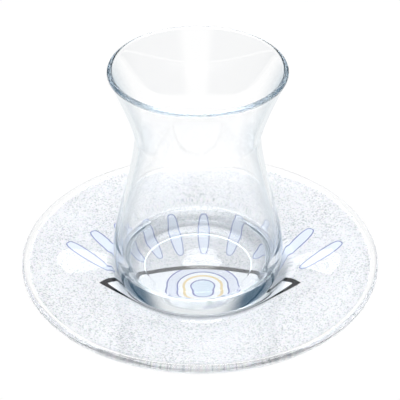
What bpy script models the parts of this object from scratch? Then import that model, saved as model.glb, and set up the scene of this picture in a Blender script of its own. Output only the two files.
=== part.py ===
"""A waisted tea glass that stands in the well of its round glass saucer.

Both pieces are turned bodies of pressed glass. Each is an outline in a half plane, given as
pairs of radius and height, which is spun once round a vertical axis. All sizes are in metres
and +Z is up. The origin is on the table, on the saucer's axis.
"""

import math

import bmesh
import bpy

# Saucer
SAUCER_RADIUS = 0.0625
SAUCER_WALL = 0.0030
RIM_CORNER_HEIGHT = 0.0167
FLANGE_BEND_RADIUS = 0.0500
FLANGE_BEND_HEIGHT = 0.0150
WELL_EDGE_RADIUS = 0.0318
WELL_EDGE_HEIGHT = 0.0137
WELL_FLOOR_RADIUS = 0.0252
WELL_FLOOR_HEIGHT = 0.0042
FOOT_RING_OUTER_RADIUS = 0.0268
FOOT_RING_INNER_RADIUS = 0.0228
FOOT_RING_DEPTH = 0.0010
RIM_ROUNDING = 0.00145
WELL_EDGE_ROUNDING = 0.0022
WELL_FLOOR_ROUNDING = 0.0040
FLANGE_BEND_ROUNDING = 0.0900
FOOT_ROUNDING = 0.0006

# Glass
GLASS_OFFSET_X = -0.0007
CONTACT_GAP = 0.0003
GLASS_HEIGHT = 0.0858
RIM_RADIUS = 0.0295
RIM_SLOPE = math.radians(66.0)
RIM_WALL = 0.0019
WAIST_RADIUS = 0.0212
WAIST_HEIGHT = 0.0599
BELLY_RADIUS = 0.0297
BELLY_HEIGHT = 0.0145
BELLY_WALL = 0.0022
FOOT_RADIUS = 0.0218
FOOT_SLOPE = math.radians(22.0)
FOOT_RECESS_RADIUS = 0.0192
FOOT_RECESS_DEPTH = 0.0006
BASE_THICKNESS = 0.0109

# How far each curve of the glass leans on its end directions
FOOT_REACH = 0.0025
UNDER_BELLY_REACH = 0.0119
OVER_BELLY_REACH = 0.0095
UNDER_WAIST_REACH = 0.0110
OVER_WAIST_REACH = 0.0048
UNDER_RIM_REACH = 0.0043
CAVITY_FLOOR_REACH = 0.0320
CAVITY_SIDE_REACH = 0.0068

# How finely the bodies are divided
SEGMENTS = 64
CURVE_STEPS = 8
ARC_STEP = math.radians(22.5)
WELD_DISTANCE = 1e-6


def clear_scene():
    """Remove every object of the open scene."""
    for item in list(bpy.data.objects):
        bpy.data.objects.remove(item)


def glass_material(name, tint, roughness):
    """A clear glass surface with a slight tint."""
    material = bpy.data.materials.new(name)
    material.use_nodes = True
    shader = material.node_tree.nodes["Principled BSDF"]
    shader.inputs["Base Color"].default_value = (*tint, 1.0)
    shader.inputs["Roughness"].default_value = roughness
    shader.inputs["Metallic"].default_value = 0.0
    shader.inputs["IOR"].default_value = 1.5
    shader.inputs["Transmission Weight"].default_value = 1.0
    return material


def curve(start, start_handle, end_handle, end):
    """Points of a cubic curve after its start, up to and with its end."""
    points = []
    for step in range(1, CURVE_STEPS + 1):
        t = step / CURVE_STEPS
        weights = ((1 - t) ** 3, 3 * t * (1 - t) ** 2, 3 * t * t * (1 - t), t ** 3)
        corners = (start, start_handle, end_handle, end)
        points.append(tuple(sum(w * c[k] for w, c in zip(weights, corners)) for k in (0, 1)))
    return points


def rounded(stations):
    """Replace each corner of an outline by an arc that touches both of its straight sides.

    A station is (radius, height, rounding). The arc starts and ends where its circle touches
    the sides, at rounding * tan(half the turn) from the corner.
    """
    points = [stations[0][:2]]
    for before, corner, after in zip(stations, stations[1:], stations[2:]):
        incoming = math.atan2(corner[1] - before[1], corner[0] - before[0])
        outgoing = math.atan2(after[1] - corner[1], after[0] - corner[0])
        turn = (outgoing - incoming + math.pi) % math.tau - math.pi
        radius = corner[2]
        setback = radius * math.tan(abs(turn) / 2)
        side = math.copysign(1.0, turn)
        start = (corner[0] - setback * math.cos(incoming), corner[1] - setback * math.sin(incoming))
        centre = (start[0] - side * radius * math.sin(incoming), start[1] + side * radius * math.cos(incoming))
        steps = max(1, round(abs(turn) / ARC_STEP))
        for step in range(steps + 1):
            heading = incoming + turn * step / steps
            points.append((centre[0] + side * radius * math.sin(heading),
                           centre[1] - side * radius * math.cos(heading)))
    points.append(stations[-1][:2])
    return points


def saucer_outline():
    """From the axis on top over the well and the flange, round the rim and back underneath."""
    slant = math.atan2(WELL_EDGE_HEIGHT - WELL_FLOOR_HEIGHT, WELL_EDGE_RADIUS - WELL_FLOOR_RADIUS)
    well_underside = WELL_EDGE_RADIUS + SAUCER_WALL * math.tan(slant / 2)
    ring_height = (WELL_FLOOR_HEIGHT - SAUCER_WALL / math.cos(slant)
                   + (FOOT_RING_OUTER_RADIUS - WELL_FLOOR_RADIUS) * math.tan(slant))
    return rounded([
        (0.0, WELL_FLOOR_HEIGHT, 0.0),
        (WELL_FLOOR_RADIUS, WELL_FLOOR_HEIGHT, WELL_FLOOR_ROUNDING),
        (WELL_EDGE_RADIUS, WELL_EDGE_HEIGHT, WELL_EDGE_ROUNDING),
        (FLANGE_BEND_RADIUS, FLANGE_BEND_HEIGHT, FLANGE_BEND_ROUNDING),
        (SAUCER_RADIUS, RIM_CORNER_HEIGHT, RIM_ROUNDING),
        (SAUCER_RADIUS, RIM_CORNER_HEIGHT - SAUCER_WALL, RIM_ROUNDING),
        (FLANGE_BEND_RADIUS, FLANGE_BEND_HEIGHT - SAUCER_WALL, FLANGE_BEND_ROUNDING + SAUCER_WALL),
        (well_underside, WELL_EDGE_HEIGHT - SAUCER_WALL, WELL_EDGE_ROUNDING + SAUCER_WALL),
        (FOOT_RING_OUTER_RADIUS, ring_height, FOOT_ROUNDING),
        (FOOT_RING_OUTER_RADIUS, 0.0, FOOT_ROUNDING),
        (FOOT_RING_INNER_RADIUS, 0.0, FOOT_ROUNDING / 2),
        (FOOT_RING_INNER_RADIUS - FOOT_RING_DEPTH, FOOT_RING_DEPTH, FOOT_ROUNDING / 2),
        (0.0, FOOT_RING_DEPTH, 0.0),
    ])


def glass_outline():
    """From the axis below the foot up the outside, over the lip and down the cavity."""
    foot = (FOOT_RADIUS, 0.0)
    belly = (BELLY_RADIUS, BELLY_HEIGHT)
    waist = (WAIST_RADIUS, WAIST_HEIGHT)
    lip = RIM_WALL / 2
    along = (math.cos(RIM_SLOPE), math.sin(RIM_SLOPE))
    across = (math.sin(RIM_SLOPE), -math.cos(RIM_SLOPE))
    lip_centre = (RIM_RADIUS - lip, GLASS_HEIGHT - lip)
    rim_outside = (lip_centre[0] + lip * across[0], lip_centre[1] + lip * across[1])
    rim_inside = (lip_centre[0] - lip * across[0], lip_centre[1] - lip * across[1])
    waist_inside = (WAIST_RADIUS - RIM_WALL, WAIST_HEIGHT)
    belly_inside = (BELLY_RADIUS - BELLY_WALL, BELLY_HEIGHT + BELLY_WALL)
    cavity_floor = (0.0, BASE_THICKNESS)

    points = [(0.0, FOOT_RECESS_DEPTH), (FOOT_RECESS_RADIUS, FOOT_RECESS_DEPTH),
              (FOOT_RECESS_RADIUS + FOOT_RECESS_DEPTH, 0.0), foot]
    points += curve(
        foot, (FOOT_RADIUS + FOOT_REACH * math.cos(FOOT_SLOPE), FOOT_REACH * math.sin(FOOT_SLOPE)),
        (BELLY_RADIUS, BELLY_HEIGHT - UNDER_BELLY_REACH), belly)
    points += curve(
        belly, (BELLY_RADIUS, BELLY_HEIGHT + OVER_BELLY_REACH),
        (WAIST_RADIUS, WAIST_HEIGHT - UNDER_WAIST_REACH), waist)
    points += curve(
        waist, (WAIST_RADIUS, WAIST_HEIGHT + OVER_WAIST_REACH),
        (rim_outside[0] - UNDER_RIM_REACH * along[0], rim_outside[1] - UNDER_RIM_REACH * along[1]),
        rim_outside)
    lip_steps = math.ceil(math.pi / (2 * ARC_STEP))
    for step in range(1, lip_steps):
        heading = RIM_SLOPE - math.pi / 2 + math.pi * step / lip_steps
        points.append((lip_centre[0] + lip * math.cos(heading), lip_centre[1] + lip * math.sin(heading)))
    points.append(rim_inside)
    points += curve(
        rim_inside, (rim_inside[0] - UNDER_RIM_REACH * along[0], rim_inside[1] - UNDER_RIM_REACH * along[1]),
        (waist_inside[0], WAIST_HEIGHT + OVER_WAIST_REACH), waist_inside)
    points += curve(
        waist_inside, (waist_inside[0], WAIST_HEIGHT - UNDER_WAIST_REACH),
        (belly_inside[0], belly_inside[1] + OVER_BELLY_REACH), belly_inside)
    points += curve(
        belly_inside, (belly_inside[0], belly_inside[1] - CAVITY_SIDE_REACH),
        (CAVITY_FLOOR_REACH, BASE_THICKNESS), cavity_floor)
    return points


def turned_body(name, outline, material, place):
    """Spin an outline of (radius, height) once round the vertical axis through place."""
    mesh = bpy.data.meshes.new(name)
    shape = bmesh.new()
    corners = [shape.verts.new((radius, 0.0, height)) for radius, height in outline]
    edges = [shape.edges.new(pair) for pair in zip(corners, corners[1:])]
    bmesh.ops.spin(
        shape, geom=corners + edges, cent=(0.0, 0.0, 0.0), axis=(0.0, 0.0, 1.0),
        angle=math.tau, steps=SEGMENTS, use_merge=True)
    bmesh.ops.remove_doubles(shape, verts=shape.verts, dist=WELD_DISTANCE)
    bmesh.ops.recalc_face_normals(shape, faces=shape.faces)
    shape.to_mesh(mesh)
    shape.free()
    mesh.shade_smooth()
    mesh.materials.append(material)
    body = bpy.data.objects.new(name, mesh)
    body.location = place
    bpy.context.scene.collection.objects.link(body)
    return body


def build_saucer():
    """The saucer stands on its foot ring, centred on the origin."""
    material = glass_material("saucer_glass", (0.93, 0.95, 0.97), 0.05)
    return turned_body("saucer", saucer_outline(), material, (0.0, 0.0, 0.0))


def build_glass():
    """The glass stands on the floor of the saucer's well."""
    material = glass_material("tea_glass_clear", (0.96, 0.98, 1.0), 0.02)
    place = (GLASS_OFFSET_X, 0.0, WELL_FLOOR_HEIGHT + CONTACT_GAP)
    return turned_body("tea_glass", glass_outline(), material, place)


def main():
    clear_scene()
    build_saucer()
    build_glass()


main()
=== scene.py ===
"""A waisted tea glass on its printed glass saucer: fine surfaces, print, finishes and stage.

Everything is in metres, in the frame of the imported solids. The glass and the saucer are turned
surfaces of the same outlines as the solids, in finer steps and with a narrower chamfer under
the foot of the glass. The print is a set of thin skins that follow the saucer's underside, as
enamel printed on the back of the glass does.
"""

import math

import bmesh
import bpy
import numpy as np
from bpy.props import FloatProperty, FloatVectorProperty, IntProperty, PointerProperty
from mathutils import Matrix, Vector


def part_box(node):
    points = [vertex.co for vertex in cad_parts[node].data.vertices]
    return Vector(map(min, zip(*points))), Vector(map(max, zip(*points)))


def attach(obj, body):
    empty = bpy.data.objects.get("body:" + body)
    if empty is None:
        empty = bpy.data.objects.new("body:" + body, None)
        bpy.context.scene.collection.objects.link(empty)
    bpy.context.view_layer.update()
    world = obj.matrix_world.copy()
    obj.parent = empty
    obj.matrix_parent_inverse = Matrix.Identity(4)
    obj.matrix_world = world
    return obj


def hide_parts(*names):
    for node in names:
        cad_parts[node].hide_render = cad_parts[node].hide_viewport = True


bl_info = {
    "name": "Tea Glass on a Saucer",
    "version": (1, 0, 0),
    "blender": (4, 5, 0),
    "location": "View3D > Sidebar > Tea Glass",
    "description": "Builds a waisted tea glass, its printed glass saucer and a plain stage",
    "category": "Add Mesh",
}

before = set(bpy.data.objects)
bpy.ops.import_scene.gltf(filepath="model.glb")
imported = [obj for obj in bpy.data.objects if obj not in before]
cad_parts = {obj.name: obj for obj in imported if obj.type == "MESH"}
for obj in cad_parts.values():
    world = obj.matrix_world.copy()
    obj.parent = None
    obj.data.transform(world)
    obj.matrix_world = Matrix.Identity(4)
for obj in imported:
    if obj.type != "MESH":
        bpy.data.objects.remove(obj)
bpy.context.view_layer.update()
SAUCER_LOW, SAUCER_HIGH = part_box("saucer")
GLASS_LOW, GLASS_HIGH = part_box("tea_glass")

# Points nearer to each other than this are merged
WELD_DISTANCE = 1e-7

# From an arc or a corner to the guard point that keeps the straight side next to it flat
GUARD = 0.00015

# Steps from the outside of the lip over its top to the inside
LIP_STEPS = 15

# Glass: its refractive index, and how far edge on it is seen where its painted edge shade starts
GLASS_IOR = 1.5
EDGE_SHADE_BEGIN = 0.48

# Print: its gloss, and the heights of its layers as multiples of the white field's
PRINT_SPECULAR = 0.1
COLOUR_LAYER = 1.5
LINE_LAYER = 2.0
OUTLINE_LAYER = 2.5

# A lash: how blunt its ends are, how much fuller it is towards its tip, and its steps
LASH_BLUNTNESS = 0.6
LASH_FULLNESS = 0.18
LASH_STEPS = 40

# Floor: its light, how far it lies under the saucer, and its steps outwards and round
FLOOR_LIGHT = 1.01
FLOOR_GAP = 0.0001
FLOOR_RINGS = 11
FLOOR_SEGMENTS = 96

# Light of the room by direction (x, y, z). Heights are in z, widths in x to both sides and
# depths in y, each from where an effect starts to where it is full.
ROOM_LIGHT = 0.90
SOFTBOX_LIGHT = 4.1
SOFTBOX_HEIGHTS = (0.68, 0.86)
OVERHEAD_HEIGHTS = (0.93, 0.98)
OVERHEAD_LOSS = 0.65
SIDES_MIDDLE = 0.04
SIDES_WIDTHS = (0.20, 0.46)
SIDES_HEIGHTS = (0.64, 0.88)
SIDES_COLOUR = (0.05, 0.12, 0.19, 1.0)
WHITE = (1.0, 1.0, 1.0, 1.0)
LAMP_LIGHT = 2.4
LAMP_PLACE = (0.004, 0.596)
LAMP_HALF_SIZE = (0.024, 0.0115)
LAMP_BLUR = 0.15
LAMP_DEPTHS = (0.0, 0.1)
LIGHT_BOUNCES = 64

# Camera
SENSOR_WIDTH = 36.0


# Sizes and colours that a user would change

def length(name, description, default):
    """A property that holds a length in metres."""
    return FloatProperty(
        name=name, description=description, default=default, unit="LENGTH", precision=5)


def turn(name, description, degrees):
    """A property that holds an angle."""
    return FloatProperty(
        name=name, description=description, default=math.radians(degrees), subtype="ANGLE")


def colour(name, description, default):
    """A property that holds a linear colour."""
    return FloatVectorProperty(
        name=name, description=description, default=default, subtype="COLOR", min=0.0, max=1.0)


class SaucerSettings(bpy.types.PropertyGroup):
    """Sizes and tint of the saucer."""

    radius: length("Radius", "Outer radius of the rim", SAUCER_HIGH.x)
    wall: length("Wall", "Thickness of the pressed glass", 0.0030)
    rim_corner: length("Rim corner", "Height of the rim before it is rounded", 0.0167)
    bend_radius: length("Bend radius", "Where the flange bends up", 0.0500)
    bend_height: length("Bend height", "Height of the flange where it bends", 0.0150)
    edge_radius: length("Well edge radius", "Where the flange drops into the well", 0.0318)
    edge_height: length("Well edge height", "Height of the edge of the well", 0.0137)
    floor_radius: length("Well floor radius", "Radius of the well's flat floor", 0.0252)
    floor_height: length("Well floor height", "Height of the well's flat floor", 0.0042)
    ring_outer: length("Foot ring outer radius", "Outer radius of the foot ring", 0.0268)
    ring_inner: length("Foot ring inner radius", "Inner radius of the foot ring", 0.0228)
    ring_depth: length("Foot ring depth", "How far the ring stands below the well", 0.0010)
    rim_rounding: length("Rim rounding", "Radius of the rim's corners", 0.00145)
    edge_rounding: length("Well edge rounding", "Radius of the well's edge on top", 0.0022)
    floor_rounding: length("Well floor rounding", "Radius at the foot of the well", 0.0040)
    bend_rounding: length("Bend rounding", "Radius of the flange's bend on top", 0.0900)
    foot_rounding: length("Foot rounding", "Radius of the ring's corners", 0.0006)
    tint: colour("Tint", "Colour that the glass takes on with depth", (0.50, 0.56, 0.60))
    density: FloatProperty(
        name="Tint density", description="Strength of the tint per metre", default=10.0)
    # Painted shade: the saucer's glass is darkened to this colour where it is seen edge on
    edge: colour("Edge tint", "Colour of the glass where it is seen edge on", (0.55, 0.58, 0.60))
    wave: length("Wave size", "Size of the faint waves in the surface", 0.022)
    wave_height: length("Wave height", "Height of the faint waves", 0.00001)
    segments: IntProperty(name="Segments", description="Steps round the axis", default=288)


class GlassSettings(bpy.types.PropertyGroup):
    """Sizes and tint of the tea glass."""

    offset: length("Offset", "How far the glass stands beside the saucer's axis", -0.0007)
    stand: length("Stand height", "Height of the glass's foot", GLASS_LOW.z)
    height: length("Height", "Height of the glass", GLASS_HIGH.z - GLASS_LOW.z)
    rim_radius: length("Rim radius", "Outer radius of the lip", 0.0295)
    rim_slope: turn("Rim slope", "Slope of the flare at the lip", 66.0)
    rim_wall: length("Rim wall", "Thickness at the lip and the waist", 0.0019)
    waist_radius: length("Waist radius", "Outer radius of the waist", 0.0212)
    waist_height: length("Waist height", "Height of the waist above the foot", 0.0599)
    belly_radius: length("Belly radius", "Outer radius of the belly", 0.0297)
    belly_height: length("Belly height", "Height of the belly above the foot", 0.0145)
    belly_wall: length("Belly wall", "Thickness at the belly", 0.0022)
    foot_radius: length("Foot radius", "Radius of the foot", 0.0218)
    foot_slope: turn("Foot slope", "Slope of the outside at the foot", 22.0)
    recess_radius: length("Recess radius", "Radius of the recess under the foot", 0.0192)
    recess_depth: length("Recess depth", "Depth of the recess under the foot", 0.0006)
    chamfer: length("Chamfer", "Width of the slope round the recess", 0.00024)
    base: length("Base thickness", "Thickness of the glass under the cavity", 0.0109)
    foot_reach: length("Foot reach", "Pull of the outside at the foot", 0.0025)
    under_belly: length("Under belly reach", "Pull of the outside below the belly", 0.0119)
    over_belly: length("Over belly reach", "Pull of the wall above the belly", 0.0095)
    under_waist: length("Under waist reach", "Pull of the wall below the waist", 0.0110)
    over_waist: length("Over waist reach", "Pull of the wall above the waist", 0.0048)
    under_rim: length("Under rim reach", "Pull of the wall below the lip", 0.0043)
    cavity_floor: length("Cavity floor reach", "Pull of the cavity's floor", 0.0320)
    cavity_side: length("Cavity side reach", "Pull of the cavity's side", 0.0068)
    tint: colour("Tint", "Colour that the glass takes on with depth", (0.60, 0.78, 0.86))
    density: FloatProperty(
        name="Tint density", description="Strength of the tint per metre", default=3.5)
    # Painted shade: the tea glass is darkened to this colour where it is seen edge on
    edge: colour("Edge tint", "Colour of the glass where it is seen edge on", (0.36, 0.48, 0.56))
    wave: length("Wave size", "Size of the faint waves in the surface", 0.016)
    wave_height: length("Wave height", "Height of the faint waves", 0.00001)
    segments: IntProperty(name="Segments", description="Steps round the axis", default=256)


class GlitterSettings(bpy.types.PropertyGroup):
    """The silver glitter printed under the whole saucer."""

    across: length("Half width", "From the middle of the glitter to its sides", 0.0604)
    along: length("Half depth", "From the middle of the glitter to its front", 0.0602)
    shift: length("Shift", "How far the glitter is printed off centre, to the back", 0.0011)
    lift: length("Lift", "How deep the glitter lies in the back of the glass", 0.00005)
    skin: length("Skin", "Thickness of each layer of print", 0.00002)
    flake: length("Flake size", "Size of a glitter flake", 0.00038)
    cloud: length("Cloud size", "Size of the places with more or fewer flakes", 0.016)
    hue: FloatProperty(name="Hue", description="Share of its own hue in a flake", default=0.06)
    # Pale flakes are the glitter's own silver grey; dark flakes are painted shade of flakes turned
    # away from the light
    pale: colour("Pale flakes", "Colour of the pale flakes", (0.80, 0.80, 0.81))
    dark: colour("Dark flakes", "Colour of the dark flakes", (0.44, 0.44, 0.44))
    shaded_flake_share: FloatProperty(
        name="Dark share", description="Share of the flakes that are darker", default=0.36)
    cloud_share: FloatProperty(
        name="Cloud share", description="How much that share goes up and down", default=0.4)


class EyeSettings(bpy.types.PropertyGroup):
    """The printed eye: its white field and the outline of its lids."""

    half_width: length("Half width", "From the middle of the eye to a corner", 0.0350)
    corner_y: length("Corner place", "Where the corners lie, towards the viewer", -0.0134)
    rise: length("Rise", "Height of the upper lid over the corners", 0.0160)
    drop: length("Drop", "Depth of the lower lid under the corners", 0.0135)
    line: length("Line width", "Width of the outline", 0.0013)
    upper_line: FloatProperty(
        name="Upper line", description="Middle of the upper line, in line widths", default=1.7)
    lower_line: FloatProperty(
        name="Lower line", description="Middle of the lower line, in line widths", default=0.1)
    lift: length("Lift", "How deep the white field lies in the glass", 0.00009)
    white: colour("White", "Colour of the white of the eye", (0.93, 0.93, 0.94))
    black: colour("Black", "Colour of the outline", (0.012, 0.012, 0.014))


class IrisSettings(bpy.types.PropertyGroup):
    """The rings of the iris, from the outside in."""

    centre_x: length("Centre x", "Where the iris lies, sideways", 0.0010)
    centre_y: length("Centre y", "Where the iris lies, away from the viewer", -0.0105)
    radius: length("Radius", "Outer radius of the iris", 0.0132)
    band: length("Band width", "Width of the pale band", 0.0038)
    line: length("Line width", "Width of the violet lines", 0.0005)
    gold_radius: length("Gold radius", "Outer radius of the gold ring", 0.0073)
    gold_width: length("Gold width", "Width of the gold ring", 0.0009)
    pupil: length("Pupil radius", "Radius of the pale blue middle", 0.0040)
    band_tint: colour("Band", "Colour of the pale band", (0.78, 0.80, 0.87))
    line_tint: colour("Line", "Colour of the violet lines", (0.17, 0.19, 0.44))
    gold: colour("Gold", "Colour of the gold ring", (0.84, 0.68, 0.36))
    middle: colour("Middle", "Colour of the pale blue middle", (0.72, 0.81, 0.88))


class LashSettings(bpy.types.PropertyGroup):
    """The lashes that fan out over the upper lid."""

    count: IntProperty(name="Lashes", description="How many lashes there are", default=10)
    centre_x: length("Centre x", "Point that the lashes fan out from, sideways", 0.0016)
    centre_y: length("Centre y", "Point that the lashes fan out from, away from the viewer", -0.0365)
    reach: length("Reach", "From that point to the tips", 0.0672)
    size: length("Length", "Length of a lash", 0.0212)
    width: length("Width", "Width of a lash", 0.0044)
    line: length("Line width", "Width of a lash's outline", 0.0004)
    spread: turn("Spread", "Angle from the middle to the outermost lashes", 47.0)
    lean: turn("Lean", "How far the middle lashes lean to the left", 5.6)
    columns: IntProperty(name="Columns", description="Steps across a lash", default=6)
    fill: colour("Fill", "Colour inside the lashes", (0.75, 0.79, 0.87))
    edge: colour("Edge", "Colour of the outlines of the lashes", (0.20, 0.24, 0.46))


class StageSettings(bpy.types.PropertyGroup):
    """Floor, surroundings and camera."""

    floor_radius: length("Floor radius", "Radius of the pale floor", 1.6)
    target_height: length("Target height", "Height that the camera looks at", 0.03827)
    distance: length("Distance", "From the camera to its target", 0.4927)
    elevation: turn("Elevation", "Angle of the camera above the floor", 34.47)
    lens: FloatProperty(
        name="Lens", description="Focal length in millimetres", default=128.97)


# Outlines and surfaces

def bezier(start, start_handle, end_handle, end, steps=36):
    """Cubic curve without its start: the corners weighted (1-t)^3, 3t(1-t)^2, 3t^2(1-t), t^3."""
    t = np.linspace(0.0, 1.0, steps + 1)[1:, None]
    corners = np.array([start, start_handle, end_handle, end])
    weights = np.hstack([(1 - t) ** 3, 3 * t * (1 - t) ** 2, 3 * t * t * (1 - t), t ** 3])
    return weights @ corners


def rounded(stations, step=math.radians(4.0)):
    """Outline through stations of (radius, height, rounding), each corner turned into an arc.

    The arc touches both straight sides, rounding * tan(half the turn) from the corner. A guard
    point on the straight side next to each arc keeps the shading of the straight side flat.
    """
    parts = [np.array([stations[0][:2]])]
    for before, corner, after in zip(stations, stations[1:], stations[2:]):
        incoming = math.atan2(corner[1] - before[1], corner[0] - before[0])
        outgoing = math.atan2(after[1] - corner[1], after[0] - corner[0])
        bend = (outgoing - incoming + math.pi) % math.tau - math.pi
        side = math.copysign(1.0, bend)
        setback = corner[2] * math.tan(abs(bend) / 2)
        into = np.array([math.cos(incoming), math.sin(incoming)])
        out = np.array([math.cos(outgoing), math.sin(outgoing)])
        start = np.array(corner[:2]) - setback * into
        centre = start + side * corner[2] * np.array([-into[1], into[0]])
        heading = incoming + bend * np.linspace(0.0, 1.0, max(2, round(abs(bend) / step)) + 1)
        arc = centre + side * corner[2] * np.stack([np.sin(heading), -np.cos(heading)], axis=1)
        parts += [[start - GUARD * into], arc, [arc[-1] + GUARD * out]]
    parts.append(np.array([stations[-1][:2]]))
    return np.vstack(parts)


def grid_quads(rows, columns, wrap_rows=False, wrap_columns=False):
    """Corners of the quads of a grid whose points are numbered row by row."""
    row = np.arange(rows if wrap_rows else rows - 1)[:, None]
    column = np.arange(columns if wrap_columns else columns - 1)[None, :]
    next_row = (row + 1) % rows
    next_column = (column + 1) % columns
    corners = [row * columns + column, row * columns + next_column,
               next_row * columns + next_column, next_row * columns + column]
    return np.stack(np.broadcast_arrays(*corners), axis=-1).reshape(-1, 4)


def make_object(name, shells, material):
    """One mesh object out of shells of (points, quads), with poles and seams merged."""
    points = np.vstack([shell[0] for shell in shells])
    starts = np.cumsum([0] + [len(shell[0]) for shell in shells])
    quads = np.vstack([shell[1] + start for shell, start in zip(shells, starts)])
    mesh = bpy.data.meshes.new(name)
    mesh.from_pydata(points, [], quads)
    shape = bmesh.new()
    shape.from_mesh(mesh)
    bmesh.ops.remove_doubles(shape, verts=shape.verts, dist=WELD_DISTANCE)
    bmesh.ops.recalc_face_normals(shape, faces=shape.faces)
    shape.to_mesh(mesh)
    shape.free()
    mesh.shade_smooth()
    mesh.materials.append(material)
    made = bpy.data.objects.new(name, mesh)
    bpy.context.scene.collection.objects.link(made)
    return made


def make_piece(name, shells, material, stands_for=None):
    """A piece that rides on the body, and hides the solid that it stands for."""
    piece = make_object(name, shells, material)
    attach(piece, "root")
    if stands_for:
        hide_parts(stands_for)


def turned_shell(outline, segments, centre=(0.0, 0.0)):
    """Surface of revolution: point (i, j) is the outline's radius i at angle j, at height i."""
    angle = np.arange(segments) * math.tau / segments
    x = centre[0] + outline[:, :1] * np.cos(angle)
    y = centre[1] + outline[:, :1] * np.sin(angle)
    z = np.repeat(outline[:, 1:], segments, axis=1)
    points = np.stack([x, y, z], axis=-1).reshape(-1, 3)
    return points, grid_quads(len(outline), segments, wrap_columns=True)


def saucer_sides(settings):
    """Slope of the well's wall, the corner under the well's edge and the wall's foot at the ring."""
    slant = math.atan2(settings.edge_height - settings.floor_height,
                       settings.edge_radius - settings.floor_radius)
    under_edge = settings.edge_radius + settings.wall * math.tan(slant / 2)
    ring_top = (settings.floor_height - settings.wall / math.cos(slant)
                + (settings.ring_outer - settings.floor_radius) * math.tan(slant))
    return slant, under_edge, ring_top


def saucer_outline(settings):
    """From the axis on top over the well and the flange, round the rim and back underneath."""
    under_edge, ring_top = saucer_sides(settings)[1:]
    wall = settings.wall
    recess = settings.ring_inner - settings.ring_depth
    return rounded([
        (0.0, settings.floor_height, 0.0),
        (settings.floor_radius, settings.floor_height, settings.floor_rounding),
        (settings.edge_radius, settings.edge_height, settings.edge_rounding),
        (settings.bend_radius, settings.bend_height, settings.bend_rounding),
        (settings.radius, settings.rim_corner, settings.rim_rounding),
        (settings.radius, settings.rim_corner - wall, settings.rim_rounding),
        (settings.bend_radius, settings.bend_height - wall, settings.bend_rounding + wall),
        (under_edge, settings.edge_height - wall, settings.edge_rounding + wall),
        (settings.ring_outer, ring_top, settings.foot_rounding),
        (settings.ring_outer, 0.0, settings.foot_rounding),
        (settings.ring_inner, 0.0, settings.foot_rounding / 2),
        (recess, settings.ring_depth, settings.foot_rounding / 2),
        (0.0, settings.ring_depth, 0.0),
    ])


def print_height(radius):
    """Height of the saucer's printed back at a distance from the axis, without the foot ring."""
    settings = bpy.context.scene.tea_saucer
    slant, under_edge, ring_top = saucer_sides(settings)
    wall_foot = settings.ring_outer - (ring_top - settings.ring_depth) / math.tan(slant)
    back = rounded([
        (0.0, settings.ring_depth, 0.0),
        (wall_foot, settings.ring_depth, settings.floor_rounding),
        (under_edge, settings.edge_height - settings.wall, settings.edge_rounding + settings.wall),
        (settings.bend_radius, settings.bend_height - settings.wall,
         settings.bend_rounding + settings.wall),
        (settings.radius, settings.rim_corner - settings.wall, 0.0),
    ])
    return np.interp(radius, back[:, 0], back[:, 1])


def glass_outline(settings):
    """From the axis below the foot up the outside, over the lip and down the cavity."""
    foot = (settings.foot_radius, 0.0)
    belly = (settings.belly_radius, settings.belly_height)
    waist = (settings.waist_radius, settings.waist_height)
    lip = settings.rim_wall / 2
    slope = settings.rim_slope
    lip_centre = (settings.rim_radius - lip, settings.height - lip)
    outside = (lip_centre[0] + lip * math.sin(slope), lip_centre[1] - lip * math.cos(slope))
    inside = (lip_centre[0] - lip * math.sin(slope), lip_centre[1] + lip * math.cos(slope))
    flare = (settings.under_rim * math.cos(slope), settings.under_rim * math.sin(slope))
    waist_inside = (settings.waist_radius - settings.rim_wall, settings.waist_height)
    belly_inside = (settings.belly_radius - settings.belly_wall,
                    settings.belly_height + settings.belly_wall)
    cavity_floor = (0.0, settings.base)
    recess = settings.recess_radius + settings.chamfer
    bottom = [(0.0, settings.recess_depth), (settings.recess_radius - GUARD, settings.recess_depth),
              (settings.recess_radius, settings.recess_depth), (recess, 0.0),
              (recess + GUARD, 0.0), foot]
    foot_handle = (foot[0] + settings.foot_reach * math.cos(settings.foot_slope),
                   settings.foot_reach * math.sin(settings.foot_slope))
    under_belly = (belly[0], belly[1] - settings.under_belly)
    over_belly = (belly[0], belly[1] + settings.over_belly)
    under_waist = (waist[0], waist[1] - settings.under_waist)
    over_waist = (waist[0], waist[1] + settings.over_waist)
    heading = slope - math.pi / 2 + np.linspace(0.0, math.pi, LIP_STEPS + 1)[1:-1]
    lip_arc = np.array(lip_centre) + lip * np.stack([np.cos(heading), np.sin(heading)], axis=1)
    return np.vstack([
        bottom,
        bezier(foot, foot_handle, under_belly, belly),
        bezier(belly, over_belly, under_waist, waist),
        bezier(waist, over_waist, (outside[0] - flare[0], outside[1] - flare[1]), outside),
        lip_arc,
        [inside],
        bezier(inside, (inside[0] - flare[0], inside[1] - flare[1]),
               (waist_inside[0], over_waist[1]), waist_inside),
        bezier(waist_inside, (waist_inside[0], under_waist[1]),
               (belly_inside[0], belly_inside[1] + settings.over_belly), belly_inside),
        bezier(belly_inside, (belly_inside[0], belly_inside[1] - settings.cavity_side),
               (settings.cavity_floor, settings.base), cavity_floor),
    ])


# Shapes of the print, drawn from above

def lid(half_width, rise, corner_y, steps=96):
    """Circular arc between the eye's corners, rise above them in the middle (below if negative).

    The radius is (a^2 + s^2) / 2s for half width a and rise s.
    """
    radius = (half_width ** 2 + rise ** 2) / (2 * abs(rise))
    reach = math.atan2(half_width, radius - abs(rise))
    angle = np.linspace(-reach, reach, steps + 1)
    height = radius * np.cos(angle) - (radius - abs(rise))
    return np.stack([radius * np.sin(angle), corner_y + math.copysign(1.0, rise) * height], axis=1)


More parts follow.
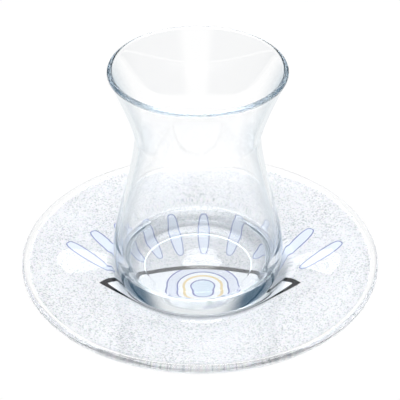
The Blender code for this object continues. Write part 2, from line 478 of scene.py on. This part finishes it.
def circle(centre, radius, steps=96):
    """Closed ring of points on a circle."""
    angle = np.arange(steps) * math.tau / steps
    return centre + radius * np.stack([np.cos(angle), np.sin(angle)], axis=1)


def between(first, second, steps):
    """Grid of points on the straight lines from each point of one curve to that of another."""
    share = np.linspace(0.0, 1.0, steps + 1)[None, :, None]
    return first[:, None, :] * (1 - share) + second[:, None, :] * share


def oval(centre, half_width, half_depth, columns, rows):
    """Grid of points in an oval, on straight lines from its front edge to its back edge.

    The edges are (a cos t, -b sin t) and (a cos t, b sin t) round the centre, t from pi to 0.
    """
    t = np.linspace(math.pi, 0.0, columns + 1)
    back = np.stack([half_width * np.cos(t), half_depth * np.sin(t)], axis=1)
    return between(centre + back * (1, -1), centre + back, rows)


def print_skin(plan, lift, closed=False):
    """Thin closed skin over a grid of (x, y): the saucer's back raised by lift, and a skin more.

    The two sheets are joined all round. In a closed grid the last row meets the first. In an
    open one the first and the last row are points, so they need no cap.
    """
    skin = bpy.context.scene.tea_glitter.skin
    height = print_height(np.hypot(plan[..., 0], plan[..., 1])) + lift
    low = np.concatenate([plan, height[..., None]], axis=-1)
    high = low + (0.0, 0.0, skin)
    points = np.concatenate([high, low[:, ::-1]], axis=1)
    rows, columns = points.shape[:2]
    return points.reshape(-1, 3), grid_quads(rows, columns, closed, wrap_columns=True)


# Materials

def new_material(name):
    """Empty node material and its output."""
    material = bpy.data.materials.new(name)
    material.use_nodes = True
    material.node_tree.nodes.clear()
    output = material.node_tree.nodes.new("ShaderNodeOutputMaterial")
    return material, material.node_tree, output


def smooth_step(tree, value, start, end):
    """Node output that rises smoothly from 0 to 1 while the value goes from start to end."""
    node = tree.nodes.new("ShaderNodeMapRange")
    node.interpolation_type = "SMOOTHSTEP"
    node.inputs["From Min"].default_value = start
    node.inputs["From Max"].default_value = end
    tree.links.new(value, node.inputs["Value"])
    return node.outputs["Result"]


def calculate(tree, operation, *values):
    """Node output of a calculation with outputs of nodes or plain numbers."""
    node = tree.nodes.new("ShaderNodeMath")
    node.operation = operation
    for socket, value in zip(node.inputs, values):
        if isinstance(value, float):
            socket.default_value = value
        else:
            tree.links.new(value, socket)
    return node.outputs["Value"]


def clear_glass(name, settings):
    """Clear glass with a tint that grows with depth and the faint waves of pressed glass.

    Its colour is darkened towards its outlines, where it is seen edge on: painted shade.
    """
    material, tree, output = new_material(name)
    shader = tree.nodes.new("ShaderNodeBsdfPrincipled")
    shader.inputs["Roughness"].default_value = 0.0
    shader.inputs["IOR"].default_value = GLASS_IOR
    shader.inputs["Transmission Weight"].default_value = 1.0
    depth = tree.nodes.new("ShaderNodeVolumeAbsorption")
    depth.inputs["Color"].default_value = (*settings.tint, 1.0)
    depth.inputs["Density"].default_value = settings.density
    # Painted shade: the base colour goes from white to the edge tint where the surface is seen edge
    # on
    facing = tree.nodes.new("ShaderNodeLayerWeight")
    sides = tree.nodes.new("ShaderNodeValToRGB")
    sides.color_ramp.elements[0].position = EDGE_SHADE_BEGIN
    sides.color_ramp.elements[0].color = WHITE
    sides.color_ramp.elements[1].color = (*settings.edge, 1.0)
    tree.links.new(facing.outputs["Facing"], sides.inputs["Fac"])
    tree.links.new(sides.outputs["Color"], shader.inputs["Base Color"])
    place = tree.nodes.new("ShaderNodeTexCoord")
    waves = tree.nodes.new("ShaderNodeTexNoise")
    waves.inputs["Scale"].default_value = 1.0 / settings.wave
    waves.inputs["Detail"].default_value = 0.0
    bump = tree.nodes.new("ShaderNodeBump")
    bump.inputs["Strength"].default_value = 1.0
    bump.inputs["Distance"].default_value = settings.wave_height
    tree.links.new(place.outputs["Object"], waves.inputs["Vector"])
    tree.links.new(waves.outputs["Fac"], bump.inputs["Height"])
    tree.links.new(bump.outputs["Normal"], shader.inputs["Normal"])
    tree.links.new(shader.outputs["BSDF"], output.inputs["Surface"])
    tree.links.new(depth.outputs["Volume"], output.inputs["Volume"])
    return material


def print_shader(tree, output, roughness):
    """Shader of a print seen through the glass: dull, because the glass lies straight on it."""
    shader = tree.nodes.new("ShaderNodeBsdfPrincipled")
    shader.inputs["Roughness"].default_value = roughness
    shader.inputs["Specular IOR Level"].default_value = PRINT_SPECULAR
    tree.links.new(shader.outputs["BSDF"], output.inputs["Surface"])
    return shader


def glitter_material(settings):
    """Silver glitter: each flake has its own grey; a darker share is painted shade of turned-away
    flakes.

    Soft clouds have more or fewer of the darker flakes.
    """
    material, tree, output = new_material("silver_glitter")
    shader = print_shader(tree, output, roughness=0.5)
    place = tree.nodes.new("ShaderNodeTexCoord")
    flakes = tree.nodes.new("ShaderNodeTexVoronoi")
    flakes.inputs["Scale"].default_value = 1.0 / settings.flake
    tone = tree.nodes.new("ShaderNodeSeparateColor")
    # Painted shade: a share of the flakes gets the dark colour, as if turned away from the light
    ramp = tree.nodes.new("ShaderNodeValToRGB")
    ramp.color_ramp.elements[0].position = 0.0
    ramp.color_ramp.elements[0].color = (*settings.dark, 1.0)
    ramp.color_ramp.elements[1].position = settings.shaded_flake_share
    ramp.color_ramp.elements[1].color = (*settings.pale, 1.0)
    tree.links.new(place.outputs["Object"], flakes.inputs["Vector"])
    tree.links.new(flakes.outputs["Color"], tone.inputs["Color"])
    cloud = tree.nodes.new("ShaderNodeTexNoise")
    cloud.inputs["Scale"].default_value = 1.0 / settings.cloud
    cloud.inputs["Detail"].default_value = 1.0
    tree.links.new(place.outputs["Object"], cloud.inputs["Vector"])
    change = calculate(tree, "MULTIPLY_ADD", cloud.outputs["Fac"],
                       settings.cloud_share, -settings.cloud_share / 2)
    tree.links.new(calculate(tree, "ADD", tone.outputs["Red"], change), ramp.inputs["Fac"])
    hue = tree.nodes.new("ShaderNodeMix")
    hue.data_type = "RGBA"
    hue.inputs["Factor"].default_value = settings.hue
    # The node has sockets of the same name for numbers, vectors and colours
    first, second = (socket for socket in hue.inputs if socket.type == "RGBA")
    mixed = next(socket for socket in hue.outputs if socket.type == "RGBA")
    tree.links.new(ramp.outputs["Color"], first)
    tree.links.new(flakes.outputs["Color"], second)
    tree.links.new(mixed, shader.inputs["Base Color"])
    return material


def enamel_material(name, tint, depth=0.06, grain=0.0006):
    """Printed enamel: one colour that is laid on a little thicker here and thinner there."""
    material, tree, output = new_material(name)
    shader = print_shader(tree, output, roughness=0.6)
    place = tree.nodes.new("ShaderNodeTexCoord")
    noise = tree.nodes.new("ShaderNodeTexNoise")
    noise.inputs["Scale"].default_value = 1.0 / grain
    noise.inputs["Detail"].default_value = 2.0
    ramp = tree.nodes.new("ShaderNodeValToRGB")
    thick = [channel * (1 - depth) for channel in tint]
    thin = [min(1.0, channel * (1 + depth)) for channel in tint]
    ramp.color_ramp.elements[0].color = (*thick, 1.0)
    ramp.color_ramp.elements[1].color = (*thin, 1.0)
    tree.links.new(place.outputs["Object"], noise.inputs["Vector"])
    tree.links.new(noise.outputs["Fac"], ramp.inputs["Fac"])
    tree.links.new(ramp.outputs["Color"], shader.inputs["Base Color"])
    return material


# Pieces

class TEAGLASS_OT_saucer(bpy.types.Operator):
    """Turn the clear body of the saucer"""

    bl_idname = "teaglass.saucer"
    bl_label = "Saucer"

    def execute(self, context):
        settings = context.scene.tea_saucer
        material = clear_glass("saucer_glass", settings)
        shell = turned_shell(saucer_outline(settings), settings.segments)
        make_piece("saucer_body", [shell], material, "saucer")
        return {"FINISHED"}


class TEAGLASS_OT_glass(bpy.types.Operator):
    """Turn the clear body of the tea glass"""

    bl_idname = "teaglass.glass"
    bl_label = "Tea glass"

    def execute(self, context):
        settings = context.scene.tea_glass
        material = clear_glass("clear_glass", settings)
        outline = glass_outline(settings) + (0.0, settings.stand)
        shell = turned_shell(outline, settings.segments, (settings.offset, 0.0))
        make_piece("glass_body", [shell], material, "tea_glass")
        return {"FINISHED"}


class TEAGLASS_OT_glitter(bpy.types.Operator):
    """Print the glitter under the saucer"""

    bl_idname = "teaglass.glitter"
    bl_label = "Glitter"

    def execute(self, context):
        settings = context.scene.tea_glitter
        centre = np.array([0.0, settings.shift])
        plan = oval(centre, settings.across, settings.along, columns=240, rows=160)
        sheet = print_skin(plan, settings.lift)
        make_piece("glitter_print", [sheet], glitter_material(settings))
        return {"FINISHED"}


class TEAGLASS_OT_eye(bpy.types.Operator):
    """Print the white field of the eye and the line round it"""

    bl_idname = "teaglass.eye"
    bl_label = "Eye"

    def execute(self, context):
        settings = context.scene.tea_eye
        line = settings.line
        upper = lid(settings.half_width, settings.rise, settings.corner_y)
        lower = lid(settings.half_width, -settings.drop, settings.corner_y)
        field = print_skin(between(lower, upper, steps=60), settings.lift)
        white = enamel_material("white_enamel", settings.white, depth=0.015)
        make_piece("eye_white", [field], white)

        inner_half = settings.half_width - line * settings.half_width / settings.rise
        upper_inner = lid(inner_half, settings.rise - settings.upper_line * line, settings.corner_y)
        lower_inner = lid(inner_half, settings.lower_line * line - settings.drop, settings.corner_y)
        outer = np.vstack([upper[:-1], lower[:0:-1]])
        inner = np.vstack([upper_inner[:-1], lower_inner[:0:-1]])
        plan = between(inner, outer, steps=3)
        loop = print_skin(plan, settings.lift * OUTLINE_LAYER, closed=True)
        black = enamel_material("black_enamel", settings.black)
        make_piece("eye_outline", [loop], black)
        return {"FINISHED"}


class TEAGLASS_OT_iris(bpy.types.Operator):
    """Print the rings of the iris"""

    bl_idname = "teaglass.iris"
    bl_label = "Iris"

    def execute(self, context):
        settings = context.scene.tea_iris
        lift = context.scene.tea_eye.lift
        centre = np.array([settings.centre_x, settings.centre_y])
        colour_lift = lift * COLOUR_LAYER
        line_lift = lift * LINE_LAYER

        def ring(outer, width, height):
            """A printed ring from the outer radius inwards."""
            plan = between(circle(centre, outer - width), circle(centre, outer), steps=6)
            return print_skin(plan, height, closed=True)

        band = ring(settings.radius, settings.band, colour_lift)
        lines = [ring(settings.radius, settings.line, line_lift),
                 ring(settings.radius - settings.band, settings.line, line_lift),
                 ring(settings.pupil + settings.line, settings.line, line_lift)]
        gold = ring(settings.gold_radius, settings.gold_width, colour_lift)
        plan = oval(centre, settings.pupil, settings.pupil, columns=64, rows=16)
        middle = print_skin(plan, colour_lift)
        make_piece("iris_band", [band], enamel_material("pale_enamel", settings.band_tint))
        make_piece("iris_lines", lines, enamel_material("violet_enamel", settings.line_tint))
        make_piece("iris_gold", [gold], enamel_material("gold_enamel", settings.gold))
        make_piece("iris_middle", [middle], enamel_material("blue_enamel", settings.middle))
        return {"FINISHED"}


class TEAGLASS_OT_lashes(bpy.types.Operator):
    """Print the lashes, which fan out over the upper lid"""

    bl_idname = "teaglass.lashes"
    bl_label = "Lashes"

    def execute(self, context):
        settings = context.scene.tea_lashes
        lift = context.scene.tea_eye.lift
        centre = np.array([settings.centre_x, settings.centre_y])
        start = settings.reach - settings.size
        fills = []
        edges = []
        # side is -1 at the leftmost lash and 1 at the rightmost, and neither of them leans
        for side in np.linspace(-1.0, 1.0, settings.count):
            heading = math.pi / 2 - settings.spread * side + settings.lean * (1 - side ** 2) ** 2
            root = centre + start * np.array([math.cos(heading), math.sin(heading)])
            fills.append(lash_fill(settings, root, heading, lift))
            edges.append(lash_edge(settings, root, heading, lift * LINE_LAYER))
        make_piece("lash_fills", fills, enamel_material("lash_enamel", settings.fill))
        make_piece("lash_edges", edges, enamel_material("lash_edge_enamel", settings.edge))
        return {"FINISHED"}


def lash_side(root, heading, size, width, start=0.0):
    """Middle line of a lash from its root to its tip, and the way from it to one side.

    Along the lash a point is at size * (1 - cos t) / 2, and beside the middle line at
    width / 2 * (sin t)^bluntness * (1 - fullness * cos t), for t from 0 to pi.
    """
    t = np.linspace(0.0, math.pi, LASH_STEPS + 1)
    along = start + size * (1 - np.cos(t)) / 2
    aside = width / 2 * np.abs(np.sin(t)) ** LASH_BLUNTNESS * (1 - LASH_FULLNESS * np.cos(t))
    ahead = np.array([math.cos(heading), math.sin(heading)])
    left = np.array([-ahead[1], ahead[0]])
    return root + along[:, None] * ahead, aside[:, None] * left


def lash_fill(settings, root, heading, lift):
    """The pale inside of a lash."""
    spine, aside = lash_side(root, heading, settings.size, settings.width)
    return print_skin(between(spine - aside, spine + aside, settings.columns), lift)


def lash_edge(settings, root, heading, lift):
    """The line round a lash, between its outline and the same outline drawn a line smaller."""
    line = settings.line
    spine, aside = lash_side(root, heading, settings.size, settings.width)
    inner_spine, inner_aside = lash_side(
        root, heading, settings.size - 2 * line, settings.width - 2 * line, line)
    outer = np.vstack([(spine - aside)[:-1], (spine + aside)[:0:-1]])
    inner = np.vstack([(inner_spine - inner_aside)[:-1], (inner_spine + inner_aside)[:0:-1]])
    return print_skin(between(inner, outer, steps=2), lift, closed=True)


# Stage

class TEAGLASS_OT_stage(bpy.types.Operator):
    """Lay the pale floor, set the surroundings and place the camera"""

    bl_idname = "teaglass.stage"
    bl_label = "Stage"

    def execute(self, context):
        settings = context.scene.tea_stage
        make_floor(settings)
        make_surroundings(context.scene)
        make_camera(context.scene, settings)
        context.scene.view_settings.view_transform = "Standard"
        context.scene.cycles.max_bounces = LIGHT_BOUNCES
        context.scene.cycles.transmission_bounces = LIGHT_BOUNCES
        context.scene.cycles.glossy_bounces = LIGHT_BOUNCES
        context.scene.cycles.blur_glossy = 0.0
        return {"FINISHED"}


def make_floor(settings):
    """Flat pale disc under the saucer: a grid of rings, white all over."""
    radius = np.linspace(0.0, settings.floor_radius, FLOOR_RINGS + 1)
    outline = np.stack([radius, np.full(len(radius), -FLOOR_GAP)], axis=1)
    material, tree, output = new_material("white_floor")
    glow = tree.nodes.new("ShaderNodeEmission")
    glow.inputs["Strength"].default_value = FLOOR_LIGHT
    tree.links.new(glow.outputs["Emission"], output.inputs["Surface"])
    floor = make_object("floor", [turned_shell(outline, FLOOR_SEGMENTS)], material)


def make_surroundings(scene):
    """Pale room that is dark to the left and the right, with a softbox above and a lamp behind.

    In a direction (x, y, z) the room has its own light, the softbox's above some height z, less
    of it straight overhead, and the lamp's. All of it is tinted dark where x is far to a side
    and z is low.
    """
    world = bpy.data.worlds.new("pale_room")
    world.use_nodes = True
    tree = world.node_tree
    background = tree.nodes["Background"]
    place = tree.nodes.new("ShaderNodeTexCoord")
    parts = tree.nodes.new("ShaderNodeSeparateXYZ")
    tree.links.new(place.outputs["Generated"], parts.inputs["Vector"])
    sideways = calculate(tree, "SUBTRACT", parts.outputs["X"], SIDES_MIDDLE)
    aside = calculate(tree, "ABSOLUTE", sideways)
    height = parts.outputs["Z"]
    overhead = calculate(
        tree, "MULTIPLY", smooth_step(tree, height, *OVERHEAD_HEIGHTS), OVERHEAD_LOSS)
    softbox = calculate(
        tree, "SUBTRACT", smooth_step(tree, height, *SOFTBOX_HEIGHTS), overhead)
    ceiling = calculate(tree, "MULTIPLY_ADD", softbox, SOFTBOX_LIGHT, ROOM_LIGHT)
    low = calculate(tree, "SUBTRACT", 1.0, smooth_step(tree, height, *SIDES_HEIGHTS))
    dark = calculate(tree, "MULTIPLY", smooth_step(tree, aside, *SIDES_WIDTHS), low)
    shade = tree.nodes.new("ShaderNodeValToRGB")
    shade.color_ramp.elements[0].color = WHITE
    shade.color_ramp.elements[1].color = SIDES_COLOUR
    tree.links.new(dark, shade.inputs["Fac"])
    tree.links.new(shade.outputs["Color"], background.inputs["Color"])
    lamp = oval_lamp(tree, parts)
    strength = calculate(tree, "MULTIPLY_ADD", lamp, LAMP_LIGHT, ceiling)
    tree.links.new(strength, background.inputs["Strength"])
    scene.world = world


def oval_lamp(tree, parts):
    """Node output that is 1 in an oval of directions behind the object and 0 outside it.

    The oval is ((x - a) / m)^2 + ((z - b) / n)^2 < 1 for the place (a, b) and half sizes (m, n).
    """
    squares = []
    for axis, middle, size in zip("XZ", LAMP_PLACE, LAMP_HALF_SIZE):
        away = calculate(tree, "SUBTRACT", parts.outputs[axis], middle)
        squares.append(calculate(tree, "POWER", calculate(tree, "DIVIDE", away, size), 2.0))
    reach = calculate(tree, "ADD", *squares)
    outside = smooth_step(tree, reach, 1.0 - LAMP_BLUR, 1.0 + LAMP_BLUR)
    inside = calculate(tree, "SUBTRACT", 1.0, outside)
    behind = smooth_step(tree, parts.outputs["Y"], *LAMP_DEPTHS)
    return calculate(tree, "MULTIPLY", inside, behind)


def make_camera(scene, settings):
    """Camera in front of the object, turned down by the elevation."""
    data = bpy.data.cameras.new("camera")
    data.lens = settings.lens
    data.sensor_width = SENSOR_WIDTH
    camera = bpy.data.objects.new("camera", data)
    away = Vector((0.0, -math.cos(settings.elevation), math.sin(settings.elevation)))
    camera.location = Vector((0.0, 0.0, settings.target_height)) + settings.distance * away
    camera.rotation_euler = (math.pi / 2 - settings.elevation, 0.0, 0.0)
    scene.collection.objects.link(camera)
    scene.camera = camera


OPERATORS = (
    TEAGLASS_OT_saucer,
    TEAGLASS_OT_glass,
    TEAGLASS_OT_glitter,
    TEAGLASS_OT_eye,
    TEAGLASS_OT_iris,
    TEAGLASS_OT_lashes,
    TEAGLASS_OT_stage,
)


class TEAGLASS_PT_panel(bpy.types.Panel):
    """List of the pieces in the 3D view's sidebar"""

    bl_label = "Tea Glass"
    bl_idname = "TEAGLASS_PT_panel"
    bl_space_type = "VIEW_3D"
    bl_region_type = "UI"
    bl_category = "Tea Glass"

    def draw(self, context):
        """One button for each piece or group of pieces, and one for the stage."""
        for operator in OPERATORS:
            self.layout.operator(operator.bl_idname)


SETTINGS = {
    "tea_saucer": SaucerSettings,
    "tea_glass": GlassSettings,
    "tea_glitter": GlitterSettings,
    "tea_eye": EyeSettings,
    "tea_iris": IrisSettings,
    "tea_lashes": LashSettings,
    "tea_stage": StageSettings,
}


def register():
    """Add the settings to the scene, and the operators and the panel to Blender."""
    for name, group in SETTINGS.items():
        bpy.utils.register_class(group)
        setattr(bpy.types.Scene, name, PointerProperty(type=group))
    for operator in OPERATORS:
        bpy.utils.register_class(operator)
    bpy.utils.register_class(TEAGLASS_PT_panel)


def unregister():
    """Take out again what register adds."""
    bpy.utils.unregister_class(TEAGLASS_PT_panel)
    for operator in reversed(OPERATORS):
        bpy.utils.unregister_class(operator)
    for name, group in SETTINGS.items():
        delattr(bpy.types.Scene, name)
        bpy.utils.unregister_class(group)


def main():
    """Build every piece and the stage."""
    register()
    bpy.ops.teaglass.saucer()
    bpy.ops.teaglass.glass()
    bpy.ops.teaglass.glitter()
    bpy.ops.teaglass.eye()
    bpy.ops.teaglass.iris()
    bpy.ops.teaglass.lashes()
    bpy.ops.teaglass.stage()


if __name__ == "__main__":
    main()
